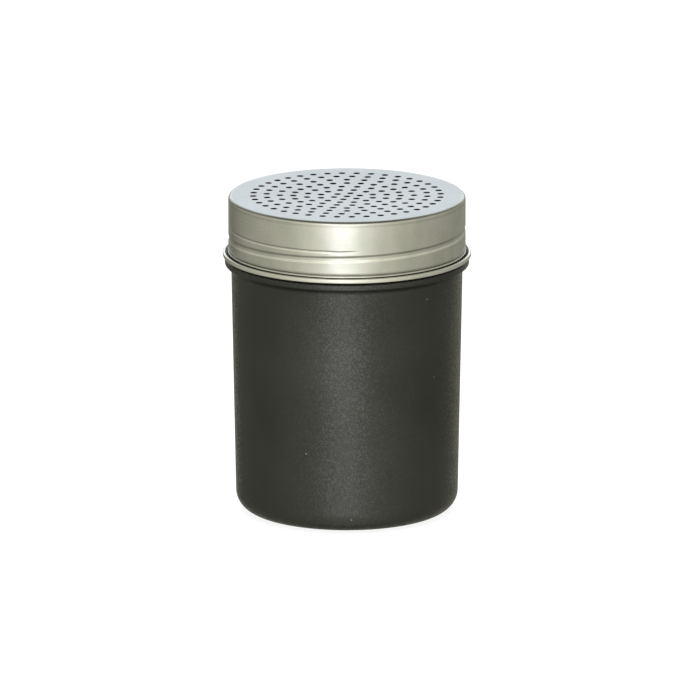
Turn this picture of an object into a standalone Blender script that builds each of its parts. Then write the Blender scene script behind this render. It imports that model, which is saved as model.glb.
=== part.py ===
"""A spice tin: a coated drawn can, its threaded neck, a rim ring and a perforated screw cap.

Metres, +Z up. The origin is the middle of the base, on the surface that the tin stands on.
Azimuths are in degrees, counterclockwise from +X seen from above; -90 is the front.
"""

import math

import bmesh
import bpy
from mathutils import Matrix, Vector

MM = 0.001
SEGMENTS = 64
WELD = 1e-6

# Driving dimensions
HEIGHT = 95.0 * MM
CAP_RADIUS = 35.0 * MM
CAP_BOTTOM = 78.2 * MM
SHEET = 0.5 * MM
CAN_TOP_RADIUS = 34.15 * MM
CAN_FOOT_RADIUS = 32.8 * MM
CAN_SHOULDER = 73.8 * MM
CAN_CORNER = 6.0 * MM

# The can: a drawn cup whose edge is curled outwards
PANEL_RADIUS = 21.0 * MM
PANEL_RISE = 1.2 * MM
FOOT_INNER_RADIUS = 23.2 * MM
CURL_RADIUS = 0.7 * MM
CURL_CENTRE_RADIUS = 35.35 * MM
CURL_LOW = 74.85 * MM
CURL_HIGH = 75.65 * MM
CURL_END_RADIUS = 34.9 * MM

# The neck: a tube that stands in the can, with a thin flange over the can's curl
NECK_RADIUS = 33.35 * MM
NECK_BORE = 32.75 * MM
NECK_TOP = 94.0 * MM
SLEEVE_RADIUS = 33.1 * MM
SLEEVE_BOTTOM = 69.6 * MM
FLANGE_RADIUS = 35.3 * MM
FLANGE_BOTTOM = 76.62 * MM
FLANGE_THICKNESS = 0.35 * MM

# The rim ring: a washer under the cap's skirt with a rounded bead outside it
RING_RADIUS = 36.65 * MM
RING_BEAD_WIDTH = 0.85 * MM
RING_BOTTOM = 76.85 * MM
RING_TOP = 78.15 * MM
RING_FLOOR = 77.62 * MM
RING_FLOOR_THICKNESS = 0.35 * MM

# The screw thread: one right-hand turn, rolled into the cap and onto the neck
LEAD = 5.5 * MM
THREAD_STEPS = SEGMENTS
THREAD_FADE = 3 / THREAD_STEPS
CAP_THREAD_START = -46 * 360 / SEGMENTS
NECK_THREAD_START = CAP_THREAD_START + 180 / SEGMENTS
CAP_THREAD_LOW = 81.32 * MM
CAP_CREST_RADIUS = 33.95 * MM
CAP_GROOVE_RADIUS = 34.55 * MM
NECK_CREST_RADIUS = 34.15 * MM
NECK_THREAD_RISE = 1.35 * MM
RIB_HALF_WIDTH = 1.0 * MM
CREST_HALF_WIDTH = 0.4 * MM

# The perforations: a middle hole and seven rings, as (number of holes, azimuth of the first)
HOLE_RADIUS = 0.75 * MM
HOLE_SIDES = 8
HOLE_RING_PITCH = 3.95 * MM
HOLE_RINGS = ((6, 14.8), (12, 15.0), (16, 7.7), (24, 0.0), (24, 0.0), (32, 7.5), (40, 3.0))


def clear_scene():
    for obj in list(bpy.data.objects):
        bpy.data.objects.remove(obj)


def material(name, colour, roughness, metallic):
    made = bpy.data.materials.new(name)
    made.use_nodes = True
    shader = made.node_tree.nodes["Principled BSDF"]
    shader.inputs["Base Color"].default_value = (*colour, 1.0)
    shader.inputs["Roughness"].default_value = roughness
    shader.inputs["Metallic"].default_value = metallic
    return made


def arc(radius, height, bend, start, end, steps):
    """Points of a profile along an arc about (radius, height), from start to end in degrees."""
    points = []
    for step in range(steps + 1):
        angle = math.radians(start + (end - start) * step / steps)
        points.append((radius + bend * math.cos(angle), height + bend * math.sin(angle)))
    return points


def new_object(name, bm, look=None):
    mesh = bpy.data.meshes.new(name)
    bm.to_mesh(mesh)
    bm.free()
    obj = bpy.data.objects.new(name, mesh)
    bpy.context.scene.collection.objects.link(obj)
    if look:
        mesh.materials.append(look)
        mesh.shade_smooth()
        mesh.set_sharp_from_angle(angle=math.radians(35))
    return obj


def turned(name, profile, look, ring=False):
    """A solid of revolution about Z. A ring's profile closes on itself; any other is capped at both ends."""
    bm = bmesh.new()
    verts = [bm.verts.new((radius, 0.0, height)) for radius, height in profile]
    pairs = list(zip(verts, verts[1:]))
    if ring:
        pairs.append((verts[-1], verts[0]))
    edges = [bm.edges.new(pair) for pair in pairs]
    bmesh.ops.spin(
        bm, geom=verts + edges, cent=(0, 0, 0), axis=(0, 0, 1), angle=math.tau, steps=SEGMENTS
    )
    bmesh.ops.remove_doubles(bm, verts=bm.verts, dist=WELD)
    if not ring:
        bmesh.ops.holes_fill(bm, edges=bm.edges, sides=SEGMENTS)
    bmesh.ops.recalc_face_normals(bm, faces=bm.faces)
    return new_object(name, bm, look)


def thread_fade(share):
    """How much of the thread's full depth there is at this share of its length, from 0 to 1."""
    from_end = min(share, 1 - share) / THREAD_FADE
    return math.sin(math.radians(90) * min(1.0, from_end))


def rib(name, root, crest, start, low):
    """A helical bar of trapezium section, from azimuth start and height low, sunk at both ends."""
    bm = bmesh.new()
    sections = []
    for step in range(THREAD_STEPS + 1):
        share = step / THREAD_STEPS
        turn = Matrix.Rotation(math.radians(start) + math.tau * share, 4, "Z")
        reach = root + (crest - root) * (0.1 + 0.9 * thread_fade(share))
        height = low + LEAD * share
        corners = (
            (root, -RIB_HALF_WIDTH),
            (reach, -CREST_HALF_WIDTH),
            (reach, CREST_HALF_WIDTH),
            (root, RIB_HALF_WIDTH),
        )
        sections.append(
            [bm.verts.new(turn @ Vector((radius, 0, height + rise))) for radius, rise in corners]
        )
    for here, there in zip(sections, sections[1:]):
        for side in range(4):
            after = (side + 1) % 4
            bm.faces.new((here[side], here[after], there[after], there[side]))
    bm.faces.new(sections[0])
    bm.faces.new(reversed(sections[-1]))
    bmesh.ops.recalc_face_normals(bm, faces=bm.faces)
    return new_object(name, bm)


def perforations(name):
    """The cutter for every hole in the cap: upright prisms through its top."""
    bm = bmesh.new()
    depth = 4 * SHEET
    places = [Matrix.Translation((0, 0, HEIGHT - SHEET / 2))]
    for ring, (count, first) in enumerate(HOLE_RINGS, start=1):
        for hole in range(count):
            turn = Matrix.Rotation(math.radians(first) + math.tau * hole / count, 4, "Z")
            places.append(turn @ Matrix.Translation((ring * HOLE_RING_PITCH, 0, 0)) @ places[0])
    for place in places:
        bmesh.ops.create_cone(
            bm, cap_ends=True, segments=HOLE_SIDES, radius1=HOLE_RADIUS, radius2=HOLE_RADIUS,
            depth=depth, matrix=place,
        )
    return new_object(name, bm)


def combine(obj, other, operation):
    """Joins or cuts obj with another object, which is then only a helper."""
    other.hide_render = True
    other.display_type = "WIRE"
    modifier = obj.modifiers.new(other.name, "BOOLEAN")
    modifier.object = other
    modifier.operation = operation
    modifier.solver = "EXACT"


def can_profile():
    """The can's section, from the middle of its underside out, round the curled edge and back inside."""
    corner_radius = CAN_FOOT_RADIUS - CAN_CORNER
    fillet = 0.35 * MM
    fillet_radius = CAN_TOP_RADIUS + fillet
    outside = [
        (PANEL_RADIUS, PANEL_RISE),
        (PANEL_RADIUS + 0.8 * MM, PANEL_RISE * 0.85),
        (FOOT_INNER_RADIUS - 0.7 * MM, PANEL_RISE * 0.3),
        (FOOT_INNER_RADIUS, 0.0),
        *arc(corner_radius, CAN_CORNER, CAN_CORNER, -90, 0, 6),
        *arc(fillet_radius, CAN_SHOULDER, fillet, 180, 90, 2),
        *arc(CURL_CENTRE_RADIUS, CURL_LOW, CURL_RADIUS, -90, 0, 3),
        *arc(CURL_CENTRE_RADIUS, CURL_HIGH, CURL_RADIUS, 0, 90, 3),
        (CURL_END_RADIUS, CURL_HIGH + CURL_RADIUS),
    ]
    inside = [
        (CURL_END_RADIUS, CURL_HIGH + CURL_RADIUS - SHEET),
        *arc(CURL_CENTRE_RADIUS, CURL_HIGH, CURL_RADIUS - SHEET, 90, 0, 1),
        *arc(CURL_CENTRE_RADIUS, CURL_LOW, CURL_RADIUS - SHEET, 0, -90, 1),
        *arc(fillet_radius, CAN_SHOULDER, fillet + SHEET, 90, 180, 3),
        *arc(corner_radius, CAN_CORNER, CAN_CORNER - SHEET, 0, -90, 5),
        (FOOT_INNER_RADIUS + 0.2 * MM, SHEET),
        (FOOT_INNER_RADIUS - 0.5 * MM, SHEET + PANEL_RISE * 0.3),
        (PANEL_RADIUS + 1.0 * MM, SHEET + PANEL_RISE * 0.85),
        (PANEL_RADIUS + 0.2 * MM, SHEET + PANEL_RISE),
    ]
    return outside + inside


def neck_profile():
    """The neck's section, up the outside of its sleeve, round the flange, up the neck and down the bore."""
    wall = NECK_RADIUS - NECK_BORE
    flange_top = FLANGE_BOTTOM + FLANGE_THICKNESS
    return [
        (NECK_BORE, SLEEVE_BOTTOM),
        (SLEEVE_RADIUS, SLEEVE_BOTTOM),
        (SLEEVE_RADIUS, FLANGE_BOTTOM),
        (FLANGE_RADIUS, FLANGE_BOTTOM),
        (FLANGE_RADIUS, flange_top),
        (NECK_RADIUS, flange_top),
        *arc(NECK_BORE + wall / 2, NECK_TOP - wall / 2, wall / 2, 0, 180, 4),
    ]


def ring_profile():
    """The rim ring's section, out along its underside, round the bead and back in over its floor."""
    bend = RING_BEAD_WIDTH / 2
    middle = RING_RADIUS - bend
    inner = NECK_RADIUS + 0.45 * MM
    underside = RING_FLOOR - RING_FLOOR_THICKNESS
    return [
        (inner, underside),
        (middle - bend, underside),
        *arc(middle, RING_BOTTOM + bend, bend, 180, 360, 4),
        *arc(middle, RING_TOP - bend, bend, 0, 180, 4),
        (middle - bend, RING_FLOOR),
        (inner, RING_FLOOR),
    ]


def cap_profile():
    """The cap's section, from the edge of its flat top down the outside, round the hem and up the inside."""
    bend = 1.1 * MM
    inner_bend = bend - SHEET
    inner_radius = CAP_RADIUS - SHEET
    hem = [
        (CAP_RADIUS, CAP_BOTTOM + 0.75 * MM),
        (CAP_RADIUS + 0.15 * MM, CAP_BOTTOM + 0.45 * MM),
        (CAP_RADIUS + 0.1 * MM, CAP_BOTTOM + 0.1 * MM),
        (CAP_RADIUS - 0.1 * MM, CAP_BOTTOM),
        (inner_radius + 0.1 * MM, CAP_BOTTOM),
        (inner_radius, CAP_BOTTOM + 0.1 * MM),
    ]
    return [
        *arc(CAP_RADIUS - bend, HEIGHT - bend, bend, 90, 0, 4),
        *hem,
        *arc(inner_radius - inner_bend, HEIGHT - SHEET - inner_bend, inner_bend, 0, 90, 3),
    ]


def make_can():
    coat = material("dark_coating", (0.055, 0.055, 0.048), 0.45, 0.2)
    turned("can_body", can_profile(), coat)


def make_neck(steel):
    neck = turned("threaded_neck", neck_profile(), steel, ring=True)
    low = CAP_THREAD_LOW + NECK_THREAD_RISE
    root = (NECK_BORE + NECK_RADIUS) / 2
    combine(neck, rib("neck_thread", root, NECK_CREST_RADIUS, NECK_THREAD_START, low), "UNION")


def make_ring(steel):
    turned("rim_ring", ring_profile(), steel, ring=True)


def make_cap(steel):
    cap = turned("shaker_cap", cap_profile(), steel)
    root = CAP_RADIUS - 0.3 * MM
    thread = rib("cap_thread", root, CAP_CREST_RADIUS, CAP_THREAD_START, CAP_THREAD_LOW)
    combine(cap, thread, "UNION")
    outside = CAP_RADIUS + 0.6 * MM
    groove = rib("cap_groove", outside, CAP_GROOVE_RADIUS, CAP_THREAD_START, CAP_THREAD_LOW)
    combine(cap, groove, "DIFFERENCE")
    combine(cap, perforations("sprinkle_holes"), "DIFFERENCE")


def main():
    clear_scene()
    steel = material("satin_steel", (0.62, 0.61, 0.57), 0.3, 1.0)
    make_can()
    make_neck(steel)
    make_ring(steel)
    make_cap(steel)


main()
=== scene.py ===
"""Looks for the spice tin: fine surfaces, procedural metals and coating, and a plain studio.

Metres in the row frame. Profiles are lists of (radius, height); theta is 0 at the front and
grows to the right, as seen by the camera.
"""

import math

import bmesh
import bpy
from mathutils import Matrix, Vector
from mathutils.geometry import delaunay_2d_cdt


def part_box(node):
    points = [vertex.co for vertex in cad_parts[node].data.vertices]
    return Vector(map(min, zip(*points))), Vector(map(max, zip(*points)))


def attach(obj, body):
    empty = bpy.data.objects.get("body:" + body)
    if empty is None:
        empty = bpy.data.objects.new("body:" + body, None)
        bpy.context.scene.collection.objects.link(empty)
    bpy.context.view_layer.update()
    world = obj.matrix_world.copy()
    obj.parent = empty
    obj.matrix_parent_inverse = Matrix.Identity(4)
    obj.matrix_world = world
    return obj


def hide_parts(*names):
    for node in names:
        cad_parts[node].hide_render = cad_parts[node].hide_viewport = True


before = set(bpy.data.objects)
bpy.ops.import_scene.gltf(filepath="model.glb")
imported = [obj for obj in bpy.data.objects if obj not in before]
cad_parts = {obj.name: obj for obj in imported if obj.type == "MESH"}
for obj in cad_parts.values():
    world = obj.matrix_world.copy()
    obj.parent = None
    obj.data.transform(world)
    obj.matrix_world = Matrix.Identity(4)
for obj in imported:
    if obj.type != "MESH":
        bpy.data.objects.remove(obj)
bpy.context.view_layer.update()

MM = 0.001
CAP_LOW, CAP_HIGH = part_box("shaker_cap")
RING_LOW, RING_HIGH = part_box("rim_ring")
CAN_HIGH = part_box("can_body")[1]
NECK_LOW, NECK_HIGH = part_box("threaded_neck")

SEGMENTS = 256
SHEET = 0.5 * MM

# Can: a foot round a raised panel, a wall that widens upwards, and a curled rim
PANEL_RADIUS = 21.0 * MM
PANEL_RISE = 1.2 * MM
FOOT_INNER_RADIUS = 23.2 * MM
FOOT_RADIUS = 32.8 * MM
FOOT_CORNER = 6.0 * MM
WALL_TOP_RADIUS = 34.15 * MM
SHOULDER = CAN_HIGH.z - 2.55 * MM
SHOULDER_FILLET = 0.35 * MM
CURL_RADIUS = 0.7 * MM
CURL_STRAIGHT = 0.8 * MM
CURL_END_RADIUS = 34.9 * MM

# Neck: a sleeve inside the can, a flange on its rim and a threaded tube above
NECK_RADIUS = 33.35 * MM
NECK_BORE = 32.75 * MM
SLEEVE_RADIUS = 33.1 * MM
FLANGE_BOTTOM = 76.62 * MM
FLANGE_THICKNESS = 0.35 * MM

# Ring: a flat floor under the cap, with a bead round it
RING_INNER_RADIUS = 33.8 * MM
RING_FLOOR = 77.62 * MM
RING_THICKNESS = 0.35 * MM
BEAD_RADIUS = 0.425 * MM
BEAD_LIFT = 0.1 * MM

# Cap
CAP_TOP = CAP_HIGH.z
CAP_BOTTOM = CAP_LOW.z
HEM_RADIUS = CAP_HIGH.x
CAP_RADIUS = HEM_RADIUS - 0.15 * MM
HEM_DROP = 0.12 * MM
CORNER = 1.1 * MM
DISH_DEPTH = 0.45 * MM
DISH_RADIUS = 29.5 * MM

# Threads: a right-hand helix, at THREAD_FRONT where theta is 0; angles are in degrees of theta
LEAD = 5.5 * MM
THREAD_FRONT = 83.9 * MM
THREAD_FROM, THREAD_TO = -168.75, 191.25
THREAD_FADE = 16.0
FLANK = 0.34
GROOVE_DEPTH = 0.3 * MM
GROOVE_DROP = 0.12 * MM
GROOVE_WIDTH = 2.2 * MM
NECK_RIDGE_DEPTH = 0.75 * MM
NECK_RIDGE_WIDTH = 1.75 * MM
NECK_THREAD_RISE = 1.35 * MM

# The shallow step above the groove. Past STEP_LEVEL_TO it falls by STEP_FALL in 100 degrees, through
# STEP_HEIGHT at the front, and its end is crumpled
STEP_HEIGHT = 85.95 * MM
STEP_DEPTH = 0.14 * MM
STEP_WIDTH = 0.9 * MM
STEP_FROM, STEP_TO = -250.0, 7.0
STEP_FADE = 9.0
STEP_LEVEL_TO = -120.0
STEP_FALL = 0.1 * MM
CRUMPLE_DEPTH = 0.1 * MM
CRUMPLE_WAVES = 22
CRUMPLE_FROM, CRUMPLE_TO = -14.0, 12.0
CRUMPLE_FADE = 8.0

# Perforations: (number of holes, azimuth of the first) for each ring out from the middle
HOLE_RADIUS = 0.75 * MM
HOLE_SIDES = 20
HOLE_MARGIN = 0.34 * MM
HOLE_RING_PITCH = 3.95 * MM
HOLE_RINGS = ((6, 14.8), (12, 15.0), (16, 7.7), (24, 0.0), (24, 0.0), (32, 7.5), (40, 3.0))

# A hole's section from its flat margin over the rolled edge and down: out from the wall, and depth
HOLE_SECTION = (
    (HOLE_MARGIN, 0.0), (0.28 * MM, 0.0), (0.18 * MM, 0.07 * MM), (0.06 * MM, 0.17 * MM),
    (0.0, 0.3 * MM), (0.0, 0.42 * MM), (0.05 * MM, SHEET), (HOLE_MARGIN, SHEET),
)

# Painted shade in the creases under the can's curl and round the cap's hem and top corner: pairs of a
# height and how much of the colour is left
COAT_PAINTED_SHADE = (
    (SHOULDER - 0.9 * MM, 1.0), (SHOULDER - 0.4 * MM, 0.45), (SHOULDER + 0.1 * MM, 0.3),
    (SHOULDER + 0.75 * MM, 0.4), (SHOULDER + 1.1 * MM, 1.0),
)
SKIRT_PAINTED_SHADE = (
    (CAP_BOTTOM + 0.35 * MM, 1.0), (CAP_BOTTOM + 0.55 * MM, 0.55), (CAP_BOTTOM + 0.75 * MM, 1.0),
    (CAP_TOP - 1.8 * MM, 1.0), (CAP_TOP - 1.4 * MM, 0.82), (CAP_TOP - 1.1 * MM, 0.91),
    (CAP_TOP - 0.6 * MM, 0.75), (CAP_TOP - 0.36 * MM, 0.36), (CAP_TOP - 0.12 * MM, 0.55),
)

# The darker and the lighter tone of each brushed steel, and its roughness. The inner steel is kept dark
# as painted shade inside the can and the neck
SKIRT_STEEL = ((0.67, 0.69, 0.63), (0.80, 0.78, 0.755), 0.27)
RING_STEEL = ((0.88, 0.87, 0.81), (0.95, 0.935, 0.89), 0.32)
SHADOWED_INNER_STEEL = ((0.26, 0.26, 0.25), (0.34, 0.34, 0.325), 0.38)

# The room that the metal mirrors: an even level and two glows about one azimuth in front
KEY_AZIMUTH = math.radians(-3.5)
ROOM_LEVEL = 0.25
ROOM_GLOW, ROOM_GLOW_WIDTH = 0.45, 0.8
KEY_GLOW, KEY_GLOW_WIDTH = 0.5, 0.085
KEY_HEIGHT, KEY_REACH = -0.2, 0.36
ROOM_TINT = (1.0, 0.99, 0.82)
KEY_TINT = (1.0, 1.03, 1.12)
BACKDROP = (1.36, 1.43, 1.46)

# The room's curves, as pairs of a value and the level there. BACK_ACROSS follows how nearly the level
# direction is straight back, LEFT_ACROSS how far a direction is to the left, LEFT_SHADE how far back,
# and the others how far up
BACK_ACROSS = ((0.84, 0.0), (0.97, 1.0))
BACK_UP = ((0.0, 0.0), (0.12, 1.0))
BACK_DIMMING = ((0.15, 1.0), (0.5, 0.65), (0.8, 0.4))
LEFT_ACROSS = ((0.2, 0.0), (0.5, 1.0))
LEFT_SHADE = ((0.5, 0.0), (0.8, 0.4))
ROOM_LIFT = ((0.0, 0.0), (0.25, 0.25))
CEILING = ((0.6, 1.0), (0.92, 0.35))

# The camera looks at the front, from a little above
CAMERA_ELEVATION = math.radians(13.9)
CAMERA_DISTANCE = 6.0
CAMERA_AIM = Vector((0.0009, 0, 0.0479))
CAMERA_LENS, SENSOR_WIDTH = 1045.0, 36.0


# Shapes

def arc(radius, height, bend, start, end, steps):
    """Profile points along an arc about (radius, height), from start to end in degrees."""
    points = []
    for step in range(steps + 1):
        angle = math.radians(start + (end - start) * step / steps)
        points.append((radius + bend * math.cos(angle), height + bend * math.sin(angle)))
    return points


def straight(start, end, steps):
    """Profile points along a straight line, without its first point."""
    return [
        tuple(a + (b - a) * step / steps for a, b in zip(start, end))
        for step in range(1, steps + 1)
    ]


def smooth(share):
    share = max(0.0, min(1.0, share))
    return share * share * (3 - 2 * share)


def fade(theta, start, end, over):
    """1 inside start..end and 0 outside, with a soft run-out at both ends."""
    return smooth((theta - start) / over) * smooth((end - theta) / over)


def bump(offset, width):
    """A flat-bottomed channel's section: 1 in its middle, 0 from half its width out."""
    return smooth((0.5 - abs(offset) / width) / FLANK)


def helix(theta, height, rise, width):
    """How deep the thread is at this place, from 0 to 1, over every turn that passes it."""
    depth = 0.0
    for turn in (-360.0, 0.0, 360.0):
        along = theta + turn
        centre = THREAD_FRONT + rise + LEAD * along / 360
        shape = bump(height - centre, width) * fade(along, THREAD_FROM, THREAD_TO, THREAD_FADE)
        depth = max(depth, shape)
    return depth


def step_centre(along):
    """The height of the step's middle."""
    fall = STEP_FALL * along / 100 if along > STEP_LEVEL_TO else 0.0
    crumple = fade(along, CRUMPLE_FROM, CRUMPLE_TO, CRUMPLE_FADE)
    return STEP_HEIGHT - fall + CRUMPLE_DEPTH * crumple * math.sin(math.radians(along * CRUMPLE_WAVES))


def cap_relief(theta, height):
    """How far the cap's wall is pressed in by its thread groove and by the shallow step above it."""
    step = 0.0
    for turn in (-360.0, 0.0):
        along = theta + turn
        shape = bump(height - step_centre(along), STEP_WIDTH)
        step = max(step, shape * fade(along, STEP_FROM, STEP_TO, STEP_FADE))
    groove = helix(theta, height, -GROOVE_DROP, GROOVE_WIDTH)
    return -max(GROOVE_DEPTH * groove, STEP_DEPTH * step)


def neck_relief(theta, height):
    return NECK_RIDGE_DEPTH * helix(theta, height, NECK_THREAD_RISE, NECK_RIDGE_WIDTH)


def front_angle(index):
    """The theta, from -180 to 180, of one of a lathe's columns."""
    theta = 360.0 * index / SEGMENTS + 90.0
    return (theta + 180.0) % 360.0 - 180.0


def lathe(bm, profile, relief=None, slot=0):
    """Sweeps a profile round Z, with one shared vert where it meets the axis."""
    poles = {}
    columns = []
    for index in range(SEGMENTS):
        angle = math.tau * index / SEGMENTS
        column = []
        for radius, height in profile:
            if radius < 1e-7:
                if height not in poles:
                    poles[height] = bm.verts.new((0, 0, height))
                column.append(poles[height])
                continue
            reach = radius + (relief(front_angle(index), height) if relief else 0.0)
            column.append(bm.verts.new((reach * math.cos(angle), reach * math.sin(angle), height)))
        columns.append(column)
    for index, here in enumerate(columns):
        there = columns[(index + 1) % SEGMENTS]
        for low in range(len(profile) - 1):
            corners = list(dict.fromkeys((here[low], there[low], there[low + 1], here[low + 1])))
            if len(corners) > 2:
                bm.faces.new(corners).material_index = slot


def piece(name, bm, looks, body, node):
    """Turns a bmesh into a smooth piece that rides on its body and stands for a CAD node."""
    bmesh.ops.remove_doubles(bm, verts=bm.verts, dist=2e-7)
    bmesh.ops.recalc_face_normals(bm, faces=bm.faces)
    mesh = bpy.data.meshes.new(name)
    bm.to_mesh(mesh)
    bm.free()
    for look in looks:
        mesh.materials.append(look)
    mesh.shade_smooth()
    obj = bpy.data.objects.new(name, mesh)
    bpy.context.scene.collection.objects.link(obj)
    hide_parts(node)
    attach(obj, body)


# Pieces

def can_outside():
    """The coated face: panel, foot, wall, shoulder and curl."""
    curl_middle, curl_high = CAN_HIGH.x - CURL_RADIUS, CAN_HIGH.z - CURL_RADIUS
    panel_edge = (PANEL_RADIUS, PANEL_RISE)
    panel_knee = (PANEL_RADIUS + 0.8 * MM, PANEL_RISE * 0.85)
    foot_knee = (FOOT_INNER_RADIUS - 0.6 * MM, PANEL_RISE * 0.24)
    return [
        (0.0, PANEL_RISE), (PANEL_RADIUS * 0.5, PANEL_RISE), panel_edge,
        *straight(panel_edge, panel_knee, 3),
        *straight(panel_knee, foot_knee, 4),
        (FOOT_INNER_RADIUS, 0.0),
        *arc(FOOT_RADIUS - FOOT_CORNER, FOOT_CORNER, FOOT_CORNER, -90, 0, 20),
        *straight((FOOT_RADIUS, FOOT_CORNER), (WALL_TOP_RADIUS, SHOULDER), 60),
        *arc(WALL_TOP_RADIUS + SHOULDER_FILLET, SHOULDER, SHOULDER_FILLET, 180, 90, 6)[1:],
        *arc(curl_middle, curl_high - CURL_STRAIGHT, CURL_RADIUS, -90, 0, 10),
        *arc(curl_middle, curl_high, CURL_RADIUS, 0, 90, 10),
        (CURL_END_RADIUS, CAN_HIGH.z),
    ]


def can_inside():
    """The bare face: in the curl, then down the wall, a sheet's thickness in, to the base's middle."""
    foot, corner, top = FOOT_RADIUS - SHEET, FOOT_CORNER - SHEET, WALL_TOP_RADIUS - SHEET
    rim, reach = CAN_HIGH.z - SHEET, CAN_HIGH.x
    return [
        (CURL_END_RADIUS, rim), (reach - 0.7 * MM, rim), (reach - 0.2 * MM, rim - 0.45 * MM),
        (reach - 0.2 * MM, rim - 0.95 * MM), (reach - 0.7 * MM, rim - 1.2 * MM),
        (top + 0.85 * MM, rim - 1.25 * MM), (top + 0.35 * MM, rim - 1.45 * MM), (top, SHOULDER),
        *straight((top, SHOULDER), (foot, FOOT_CORNER), 40),
        *arc(foot - corner, FOOT_CORNER, corner, 0, -90, 14)[1:],
        (22.0 * MM, PANEL_RISE + SHEET), (0.0, PANEL_RISE + SHEET),
    ]


def make_can(coat, inside):
    bm = bmesh.new()
    outside = can_outside()
    lathe(bm, outside)
    lathe(bm, [outside[-1], *can_inside()], slot=1)
    piece("can_shell", bm, [coat, inside], "can", "can_body")


def make_neck(steel):
    bm = bmesh.new()
    low, reach, flange_top = NECK_LOW.z, NECK_HIGH.x, FLANGE_BOTTOM + FLANGE_THICKNESS
    lip = (NECK_RADIUS - NECK_BORE) / 2
    top = NECK_HIGH.z - lip
    profile = [
        (NECK_BORE, low), (SLEEVE_RADIUS, low), (SLEEVE_RADIUS, FLANGE_BOTTOM),
        (reach, FLANGE_BOTTOM), (reach, flange_top), (NECK_RADIUS, flange_top),
        *straight((NECK_RADIUS, flange_top), (NECK_RADIUS, top), 90),
        *arc(NECK_BORE + lip, top, lip, 0, 180, 10)[1:],
        (NECK_BORE, low),
    ]
    lathe(bm, profile, lambda theta, height: neck_relief(theta, height) if height < top else 0.0)
    piece("neck_tube", bm, [steel], "can", "threaded_neck")


def make_ring(steel):
    bm = bmesh.new()
    under = RING_FLOOR - RING_THICKNESS
    bead_middle = RING_HIGH.x - BEAD_RADIUS
    bead_inner = bead_middle - BEAD_RADIUS
    profile = [
        (RING_INNER_RADIUS, under), (bead_inner, under),
        *arc(bead_middle, RING_LOW.z + BEAD_RADIUS, BEAD_RADIUS, 180, 360, 12),
        *arc(bead_middle, RING_HIGH.z + BEAD_LIFT - BEAD_RADIUS, BEAD_RADIUS, 0, 180, 12),
        (bead_inner, RING_FLOOR), (RING_INNER_RADIUS, RING_FLOOR), (RING_INNER_RADIUS, under),
    ]
    lathe(bm, profile)
    piece("rim_bead", bm, [steel], "ring", "rim_ring")


def hole_centres():
    centres = [(0.0, 0.0)]
    for ring, (count, first) in enumerate(HOLE_RINGS, start=1):
        for hole in range(count):
            angle = math.radians(first) + math.tau * hole / count
            radius = ring * HOLE_RING_PITCH
            centres.append((radius * math.cos(angle), radius * math.sin(angle)))
    return centres


def dished(x, y, below=0.0):
    """A point of the cap's top, which sinks gently to its middle, or this far below that."""
    radius = min(math.hypot(x, y), DISH_RADIUS)
    sink = DISH_DEPTH * (0.5 + 0.5 * math.cos(math.pi * radius / DISH_RADIUS))
    return Vector((x, y, CAP_TOP - sink - below))


def disc_plan(centres, edge):
    """A flat disc with a gap round each hole: its points, and its triangles."""
    points, loops = [], []
    margin = HOLE_RADIUS + HOLE_MARGIN
    rings = [(edge, SEGMENTS, 0.0, 0.0)]
    rings += [(margin, HOLE_SIDES, x, y) for x, y in centres]
    for radius, count, x, y in rings:
        first = len(points)
        for index in range(count):
            angle = math.tau * index / count
            points.append(Vector((x + radius * math.cos(angle), y + radius * math.sin(angle))))
            loops.append((first + index, first + (index + 1) % count))
    spacing, clearance, edge_gap = 1.6 * MM, 0.25 * MM, 0.8 * MM
    fill_pitch = HOLE_RING_PITCH / 2
    for step in range(1, 1 + int((edge - edge_gap) / fill_pitch - 0.5)):
        radius = (step + 0.5) * fill_pitch
        count = max(8, round(math.tau * radius / spacing))
        for index in range(count):
            angle = math.tau * (index + 0.5 * (step % 2)) / count
            spot = Vector((radius * math.cos(angle), radius * math.sin(angle)))
            if all((spot - Vector(c)).length > margin + clearance for c in centres):
                points.append(spot)
    made = delaunay_2d_cdt(points, loops, [], 0, 1e-9)
    verts, faces = made[0], made[2]
    kept = []
    for face in faces:
        middle = sum((verts[i] for i in face), Vector((0, 0))) / len(face)
        if all((middle - Vector(c)).length > margin * 0.97 for c in centres):
            kept.append(face)
    return verts, kept


def add_holes(bm, centres):
    """Each hole's flat margin, rolled-in edge, wall and the edge below."""
    for x, y in centres:
        loops = []
        for out, below in HOLE_SECTION:
            radius = HOLE_RADIUS + out
            loop = []
            for index in range(HOLE_SIDES):
                angle = math.tau * index / HOLE_SIDES
                around = (x + radius * math.cos(angle), y + radius * math.sin(angle))
                loop.append(bm.verts.new(dished(*around, below)))
            loops.append(loop)
        for step, (here, there) in enumerate(zip(loops, loops[1:])):
            for index in range(HOLE_SIDES):
                after = (index + 1) % HOLE_SIDES
                face = bm.faces.new((here[index], here[after], there[after], there[index]))
                face.material_index = 2 if step else 1


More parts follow.
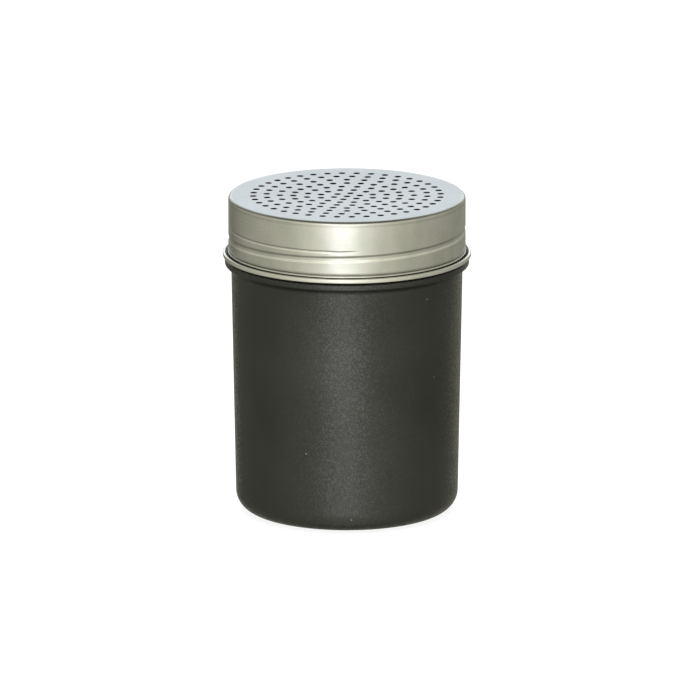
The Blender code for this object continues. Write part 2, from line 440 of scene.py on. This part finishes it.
def cap_skirt():
    """The cap's section below its top: outside, hem with its crease, and inside."""
    inner = CAP_RADIUS - SHEET
    low = CAP_BOTTOM - HEM_DROP
    fine_low, fine_high = CAP_BOTTOM + 1.6 * MM, CAP_TOP - 6.5 * MM
    edge = CAP_RADIUS - CORNER
    crease = CAP_RADIUS - 0.08 * MM
    outside = [
        *arc(edge, CAP_TOP - CORNER, CORNER, 90, 0, 12),
        (CAP_RADIUS, fine_high),
        *straight((CAP_RADIUS, fine_high), (CAP_RADIUS, fine_low), 64),
    ]
    hem = [
        (CAP_RADIUS, CAP_BOTTOM + 0.75 * MM),
        (crease, CAP_BOTTOM + 0.62 * MM), (crease, CAP_BOTTOM + 0.52 * MM),
        (CAP_RADIUS + 0.06 * MM, CAP_BOTTOM + 0.42 * MM),
        (HEM_RADIUS, CAP_BOTTOM + 0.3 * MM), (HEM_RADIUS, CAP_BOTTOM + 0.05 * MM),
        (CAP_RADIUS + 0.08 * MM, low + 0.06 * MM), (CAP_RADIUS - 0.1 * MM, low),
        (inner + 0.1 * MM, low), (inner, low + 0.1 * MM),
    ]
    inside = [
        (inner, fine_low),
        *straight((inner, fine_low), (inner, fine_high), 64),
        *arc(edge, CAP_TOP - CORNER, CORNER - SHEET, 0, 90, 8),
    ]
    return outside + hem + inside


def make_cap(skirt_steel, disc_steel, hole_painted_shadow):
    bm = bmesh.new()
    lathe(bm, cap_skirt(), cap_relief)
    centres = hole_centres()
    verts, faces = disc_plan(centres, CAP_RADIUS - CORNER)
    for below in (0.0, SHEET):
        sheet = [bm.verts.new(dished(v.x, v.y, below)) for v in verts]
        for face in faces:
            bm.faces.new([sheet[i] for i in face]).material_index = 1
    add_holes(bm, centres)
    piece("perforated_cap", bm, [skirt_steel, disc_steel, hole_painted_shadow], "cap", "shaker_cap")


# Materials

class Nodes:
    """A material's node tree, with short methods that add to it."""

    def __init__(self, name):
        self.material = bpy.data.materials.new(name)
        self.material.use_nodes = True
        self.tree = self.material.node_tree
        self.shader = self.tree.nodes["Principled BSDF"]
        self.place = self.add("ShaderNodeTexCoord").outputs["Object"]

    def add(self, kind, **sockets):
        node = self.tree.nodes.new(kind)
        for name, value in sockets.items():
            node.inputs[name.replace("_", " ")].default_value = value
        return node

    def link(self, output, target):
        self.tree.links.new(output, target)

    def noise(self, scale, detail=3.0, squeeze=(1, 1, 1)):
        """Noise whose features are about 1 / (scale * squeeze) metres across, along each axis."""
        mapping = self.add("ShaderNodeMapping", Scale=squeeze)
        noise = self.add("ShaderNodeTexNoise", Scale=scale, Detail=detail)
        self.link(self.place, mapping.inputs["Vector"])
        self.link(mapping.outputs["Vector"], noise.inputs["Vector"])
        return noise.outputs["Fac"]

    def cells(self, scale):
        """A random colour for each cell, about 1 / scale metres across."""
        cells = self.add("ShaderNodeTexVoronoi", Scale=scale)
        self.link(self.place, cells.inputs["Vector"])
        return cells.outputs["Color"]

    def vector(self, operation, first, second):
        node = self.add("ShaderNodeVectorMath")
        node.operation = operation
        for socket, value in ((0, first), (1, second)):
            if isinstance(value, bpy.types.NodeSocket):
                self.link(value, node.inputs[socket])
            else:
                node.inputs[socket].default_value = value
        return node.outputs["Vector"]

    def tilted(self, random, amount, normal):
        """The normal, tilted a little towards a random direction: one for each flake."""
        aside = self.vector("SUBTRACT", random, (0.5, 0.5, 0.5))
        lean = self.vector("MULTIPLY", aside, (2 * amount,) * 3)
        return self.vector("NORMALIZE", self.vector("ADD", normal, lean), (0, 0, 0))

    def painted_facing_light(self, colour, under, over):
        """Painted light and shade: the colour darker where the metal faces down and lighter where it
        faces up.
        """
        split = self.add("ShaderNodeSeparateXYZ")
        self.link(self.add("ShaderNodeNewGeometry").outputs["Normal"], split.inputs["Vector"])
        lean = self.ramp(split.outputs["Z"], (-0.3, under), (0.0, 1 / over), (0.3, 1.0))
        return self.vector("MULTIPLY", self.vector("MULTIPLY", colour, (over,) * 3), lean)

    def spread(self, value, low, high):
        """A number from low to high as the value goes from 0.3 to 0.7."""
        node = self.add("ShaderNodeMapRange", From_Min=0.3, From_Max=0.7, To_Min=low, To_Max=high)
        self.link(value, node.inputs["Value"])
        return node.outputs["Result"]

    def blend(self, value, first, second):
        """A colour from first to second as the value goes from 0.3 to 0.7."""
        node = self.add("ShaderNodeValToRGB")
        for stop, place, colour in zip(node.color_ramp.elements, (0.3, 0.7), (first, second)):
            stop.position = place
            stop.color = (*colour, 1.0)
        self.link(value, node.inputs["Fac"])
        return node.outputs["Color"]

    def ramp(self, value, *stops):
        """A grey that follows the value; stops are pairs of a value and the grey there."""
        low, high = stops[0][0], stops[-1][0]
        share = self.add("ShaderNodeMapRange", From_Min=low, From_Max=high)
        self.link(value, share.inputs["Value"])
        node = self.add("ShaderNodeValToRGB")
        while len(node.color_ramp.elements) < len(stops):
            node.color_ramp.elements.new(0.5)
        for stop, (at, grey) in zip(node.color_ramp.elements, stops):
            stop.position, stop.color = (at - low) / (high - low), (grey, grey, grey, 1.0)
        self.link(share.outputs["Result"], node.inputs["Fac"])
        return node.outputs["Color"]

    def painted_shade_by_height(self, colour, *stops):
        """Painted shade: the colour times a factor that follows height; stops are pairs of a height and
        its factor.
        """
        split = self.add("ShaderNodeSeparateXYZ")
        self.link(self.place, split.inputs["Vector"])
        return self.vector("MULTIPLY", colour, self.ramp(split.outputs["Z"], *stops))

    def bumps(self, height, distance, strength=1.0, under=None):
        node = self.add("ShaderNodeBump", Distance=distance, Strength=strength)
        self.link(height, node.inputs["Height"])
        if under:
            self.link(under, node.inputs["Normal"])
        return node.outputs["Normal"]


def brushed_steel(name, dark, light, rough, painted_shades=()):
    """Steel brushed round the can's axis: fine level lines and broad changes of tone."""
    m = Nodes(name)
    lines = m.noise(900, 4.0, (0.03, 0.03, 9.0))
    tone = m.noise(170, 3.0, (1, 1, 0.6))
    colour = m.blend(tone, dark, light)
    # Given shades, the colour gets painted light and shade by facing and painted shade by height
    if painted_shades:
        colour = m.painted_shade_by_height(m.painted_facing_light(colour, 0.45, 1.28), *painted_shades)
    m.link(colour, m.shader.inputs["Base Color"])
    m.link(m.spread(lines, rough - 0.07, rough + 0.07), m.shader.inputs["Roughness"])
    m.link(m.bumps(lines, 0.000006, 0.6), m.shader.inputs["Normal"])
    m.shader.inputs["Metallic"].default_value = 1.0
    m.shader.inputs["Anisotropic"].default_value = 0.25
    m.shader.inputs["Anisotropic Rotation"].default_value = 0.25
    around = m.add("ShaderNodeTangent")
    around.direction_type = "RADIAL"
    around.axis = "Z"
    m.link(around.outputs["Tangent"], m.shader.inputs["Tangent"])
    return m.material


def disc_steel():
    """The perforated sheet: satin, cooler, with a fine even grain and faint rolling lines."""
    m = Nodes("disc_steel")
    grain = m.noise(5200, 3.0)
    rolled = m.noise(700, 3.0, (0.06, 4.0, 1.0))
    tone = m.noise(60, 2.0)
    m.link(m.blend(tone, (0.63, 0.65, 0.67), (0.70, 0.72, 0.74)), m.shader.inputs["Base Color"])
    m.link(m.spread(grain, 0.34, 0.46), m.shader.inputs["Roughness"])
    lines = m.bumps(rolled, 0.000004, 0.4)
    m.link(m.bumps(grain, 0.000006, 0.5, lines), m.shader.inputs["Normal"])
    m.shader.inputs["Metallic"].default_value = 1.0
    return m.material


def hole_painted_shadow():
    """The rolled edges and walls of the holes: torn and dull steel, its colour nearly black as painted
    shadow inside the holes.
    """
    m = Nodes("hole_painted_shadow")
    torn = m.noise(6000, 4.0, (1, 1, 0.3))
    # Nearly black colour: painted shadow in the holes
    m.link(m.blend(torn, (0.002, 0.002, 0.002), (0.012, 0.011, 0.011)), m.shader.inputs["Base Color"])
    m.link(m.spread(torn, 0.6, 0.85), m.shader.inputs["Roughness"])
    m.link(m.bumps(torn, 0.00002, 0.7), m.shader.inputs["Normal"])
    m.shader.inputs["Specular IOR Level"].default_value = 0.1
    return m.material


def dark_coat():
    """Satin metallic powder coat: charcoal flake, orange-peel skin, rare pale specks."""
    m = Nodes("dark_coat")
    peel = m.noise(1000, 2.0)
    flakes = m.cells(3100)
    tone = m.noise(38, 3.0)
    specks = m.add("ShaderNodeTexVoronoi", Scale=160.0)
    m.link(m.place, specks.inputs["Vector"])
    near = m.add("ShaderNodeMath")
    near.operation = "LESS_THAN"
    near.inputs[1].default_value = 0.035
    m.link(specks.outputs["Distance"], near.inputs[0])
    mix = m.add("ShaderNodeMix")
    mix.data_type = "RGBA"
    coat_colour, speck_colour = [s for s in mix.inputs if s.type == "RGBA"]
    coat = m.blend(tone, (0.068, 0.068, 0.067), (0.086, 0.086, 0.085))
    m.link(near.outputs["Value"], mix.inputs["Factor"])
    # Painted shade in the crease under the curl
    m.link(m.painted_shade_by_height(coat, *COAT_PAINTED_SHADE), coat_colour)
    speck_colour.default_value = (0.36, 0.35, 0.32, 1.0)
    m.link([s for s in mix.outputs if s.type == "RGBA"][0], m.shader.inputs["Base Color"])
    m.link(m.spread(flakes, 0.23, 0.15), m.shader.inputs["Roughness"])
    skin = m.bumps(peel, 0.00003, 0.3)
    m.link(m.tilted(flakes, 0.115, skin), m.shader.inputs["Normal"])
    m.shader.inputs["Metallic"].default_value = 0.9
    return m.material


# Studio

def area_light(name, place, size, power, colour=(1, 1, 1), mirrored=True):
    """A rectangular light that faces the middle of the can; mirrored is whether reflections show it."""
    middle = Vector((0, 0, 0.06))
    light = bpy.data.lights.new(name, "AREA")
    light.shape = "RECTANGLE"
    light.size, light.size_y = size
    light.energy = power
    light.color = colour
    obj = bpy.data.objects.new(name, light)
    obj.location = place
    obj.rotation_euler = (middle - Vector(place)).to_track_quat("-Z", "Y").to_euler()
    obj.visible_glossy = mirrored
    obj.visible_camera = False
    bpy.context.scene.collection.objects.link(obj)


def make_floor():
    """A white floor that glows enough to hide most of the shadow and lights nothing itself."""
    mesh = bpy.data.meshes.new("floor")
    side = 6.0
    corners = [(-side, -side, 0), (side, -side, 0), (side, side, 0), (-side, side, 0)]
    mesh.from_pydata(corners, [], [(0, 1, 2, 3)])
    floor = bpy.data.objects.new("floor", mesh)
    bpy.context.scene.collection.objects.link(floor)
    m = Nodes("floor_white")
    m.shader.inputs["Base Color"].default_value = (0.14, 0.14, 0.14, 1.0)
    m.shader.inputs["Emission Color"].default_value = (1.0, 1.0, 1.0, 1.0)
    m.shader.inputs["Emission Strength"].default_value = 0.9
    m.shader.inputs["Roughness"].default_value = 0.9
    m.shader.inputs["Specular IOR Level"].default_value = 0.0
    mesh.materials.append(m.material)
    floor.visible_glossy = False
    floor.visible_diffuse = False
    floor.visible_shadow = False


def make_world():
    """A grey room, lighter low in front, with a bright cool backdrop behind and a dimmer ceiling."""
    world = bpy.data.worlds.new("studio")
    bpy.context.scene.world = world
    world.use_nodes = True
    tree = world.node_tree

    def fill(sockets, values):
        for socket, value in zip(sockets, values):
            if isinstance(value, bpy.types.NodeSocket):
                tree.links.new(value, socket)
            else:
                socket.default_value = value

    def number(operation, *values):
        node = tree.nodes.new("ShaderNodeMath")
        node.operation = operation
        fill(node.inputs, values)
        return node.outputs["Value"]

    def vector(operation, *values):
        node = tree.nodes.new("ShaderNodeVectorMath")
        node.operation = operation
        fill(node.inputs, values)
        return node.outputs["Value" if operation == "DOT_PRODUCT" else "Vector"]

    def scaled(colour, share):
        node = tree.nodes.new("ShaderNodeVectorMath")
        node.operation = "SCALE"
        fill((node.inputs["Vector"], node.inputs["Scale"]), (colour, share))
        return node.outputs["Vector"]

    def curve(value, stops):
        """A smooth curve through the stops, each a value and the level there."""
        node = tree.nodes.new("ShaderNodeValToRGB")
        node.color_ramp.interpolation = "EASE"
        while len(node.color_ramp.elements) < len(stops):
            node.color_ramp.elements.new(0.5)
        for stop, (place, level) in zip(node.color_ramp.elements, stops):
            stop.position, stop.color = place, (level, level, level, 1.0)
        tree.links.new(value, node.inputs["Fac"])
        return node.outputs["Color"]

    direction = tree.nodes.new("ShaderNodeTexCoord").outputs["Generated"]
    split = tree.nodes.new("ShaderNodeSeparateXYZ")
    tree.links.new(direction, split.inputs["Vector"])
    rightward, backward, upward = split.outputs
    level_way = vector("NORMALIZE", vector("MULTIPLY", direction, (1, 1, 0)))
    facing = vector("DOT_PRODUCT", level_way, (math.sin(KEY_AZIMUTH), -math.cos(KEY_AZIMUTH), 0))

    def glow(amount, width):
        """Falls off to both sides of the key's azimuth."""
        falling = number("DIVIDE", number("SUBTRACT", facing, 1.0), width)
        return number("MULTIPLY", amount, number("EXPONENT", falling))

    off = number("DIVIDE", number("SUBTRACT", upward, KEY_HEIGHT), KEY_REACH)
    in_reach = number("EXPONENT", number("MULTIPLY", number("MULTIPLY", off, off), -1.0))
    key = number("MULTIPLY", glow(KEY_GLOW, KEY_GLOW_WIDTH), in_reach)
    around = number("ADD", ROOM_LEVEL, glow(ROOM_GLOW, ROOM_GLOW_WIDTH))
    room = vector("ADD", scaled(ROOM_TINT, around), scaled(KEY_TINT, key))

    leftward = number("MULTIPLY", rightward, -1.0)
    shade = number("MULTIPLY", curve(leftward, LEFT_ACROSS), curve(backward, LEFT_SHADE))
    lift = number("ADD", curve(upward, ROOM_LIFT), 1.0)
    room = scaled(room, number("MULTIPLY", lift, number("SUBTRACT", 1.0, shade)))

    behind = curve(vector("DOT_PRODUCT", level_way, (0, 1, 0)), BACK_ACROSS)
    is_back = number("MULTIPLY", behind, curve(upward, BACK_UP))
    back = scaled(BACKDROP, number("MULTIPLY", is_back, curve(upward, BACK_DIMMING)))
    both = vector("ADD", scaled(room, number("SUBTRACT", 1.0, is_back)), back)
    tree.links.new(scaled(both, curve(upward, CEILING)), tree.nodes["Background"].inputs["Color"])


def make_studio():
    bpy.context.scene.view_settings.view_transform = "Standard"
    make_floor()
    make_world()
    area_light("front_box", (-0.06, -1.0, 0.55), (0.8, 0.6), 1.2, (1.0, 1.0, 0.98))
    area_light("front_card", (-0.025, -0.5, -0.01), (0.24, 0.08), 0.034, (1.0, 1.0, 1.04))
    area_light("top_fill", (0, 0.1, 1.6), (1.6, 1.6), 60.0, mirrored=False)


def make_camera():
    data = bpy.data.cameras.new("camera")
    data.lens, data.sensor_width = CAMERA_LENS, SENSOR_WIDTH
    camera = bpy.data.objects.new("camera", data)
    toward = Vector((0, -math.cos(CAMERA_ELEVATION), math.sin(CAMERA_ELEVATION)))
    camera.location = CAMERA_AIM + toward * CAMERA_DISTANCE
    camera.rotation_euler = (-toward).to_track_quat("-Z", "Y").to_euler()
    bpy.context.scene.collection.objects.link(camera)
    bpy.context.scene.camera = camera


def main():
    # The skirt's steel carries painted light and shade by facing and by height
    skirt = brushed_steel("brushed_steel", *SKIRT_STEEL, SKIRT_PAINTED_SHADE)
    ring = brushed_steel("ring_steel", *RING_STEEL)
    inside = brushed_steel("inner_steel_painted_shade", *SHADOWED_INNER_STEEL)
    make_can(dark_coat(), inside)
    make_neck(inside)
    make_ring(ring)
    make_cap(skirt, disc_steel(), hole_painted_shadow())
    make_studio()
    make_camera()


main()
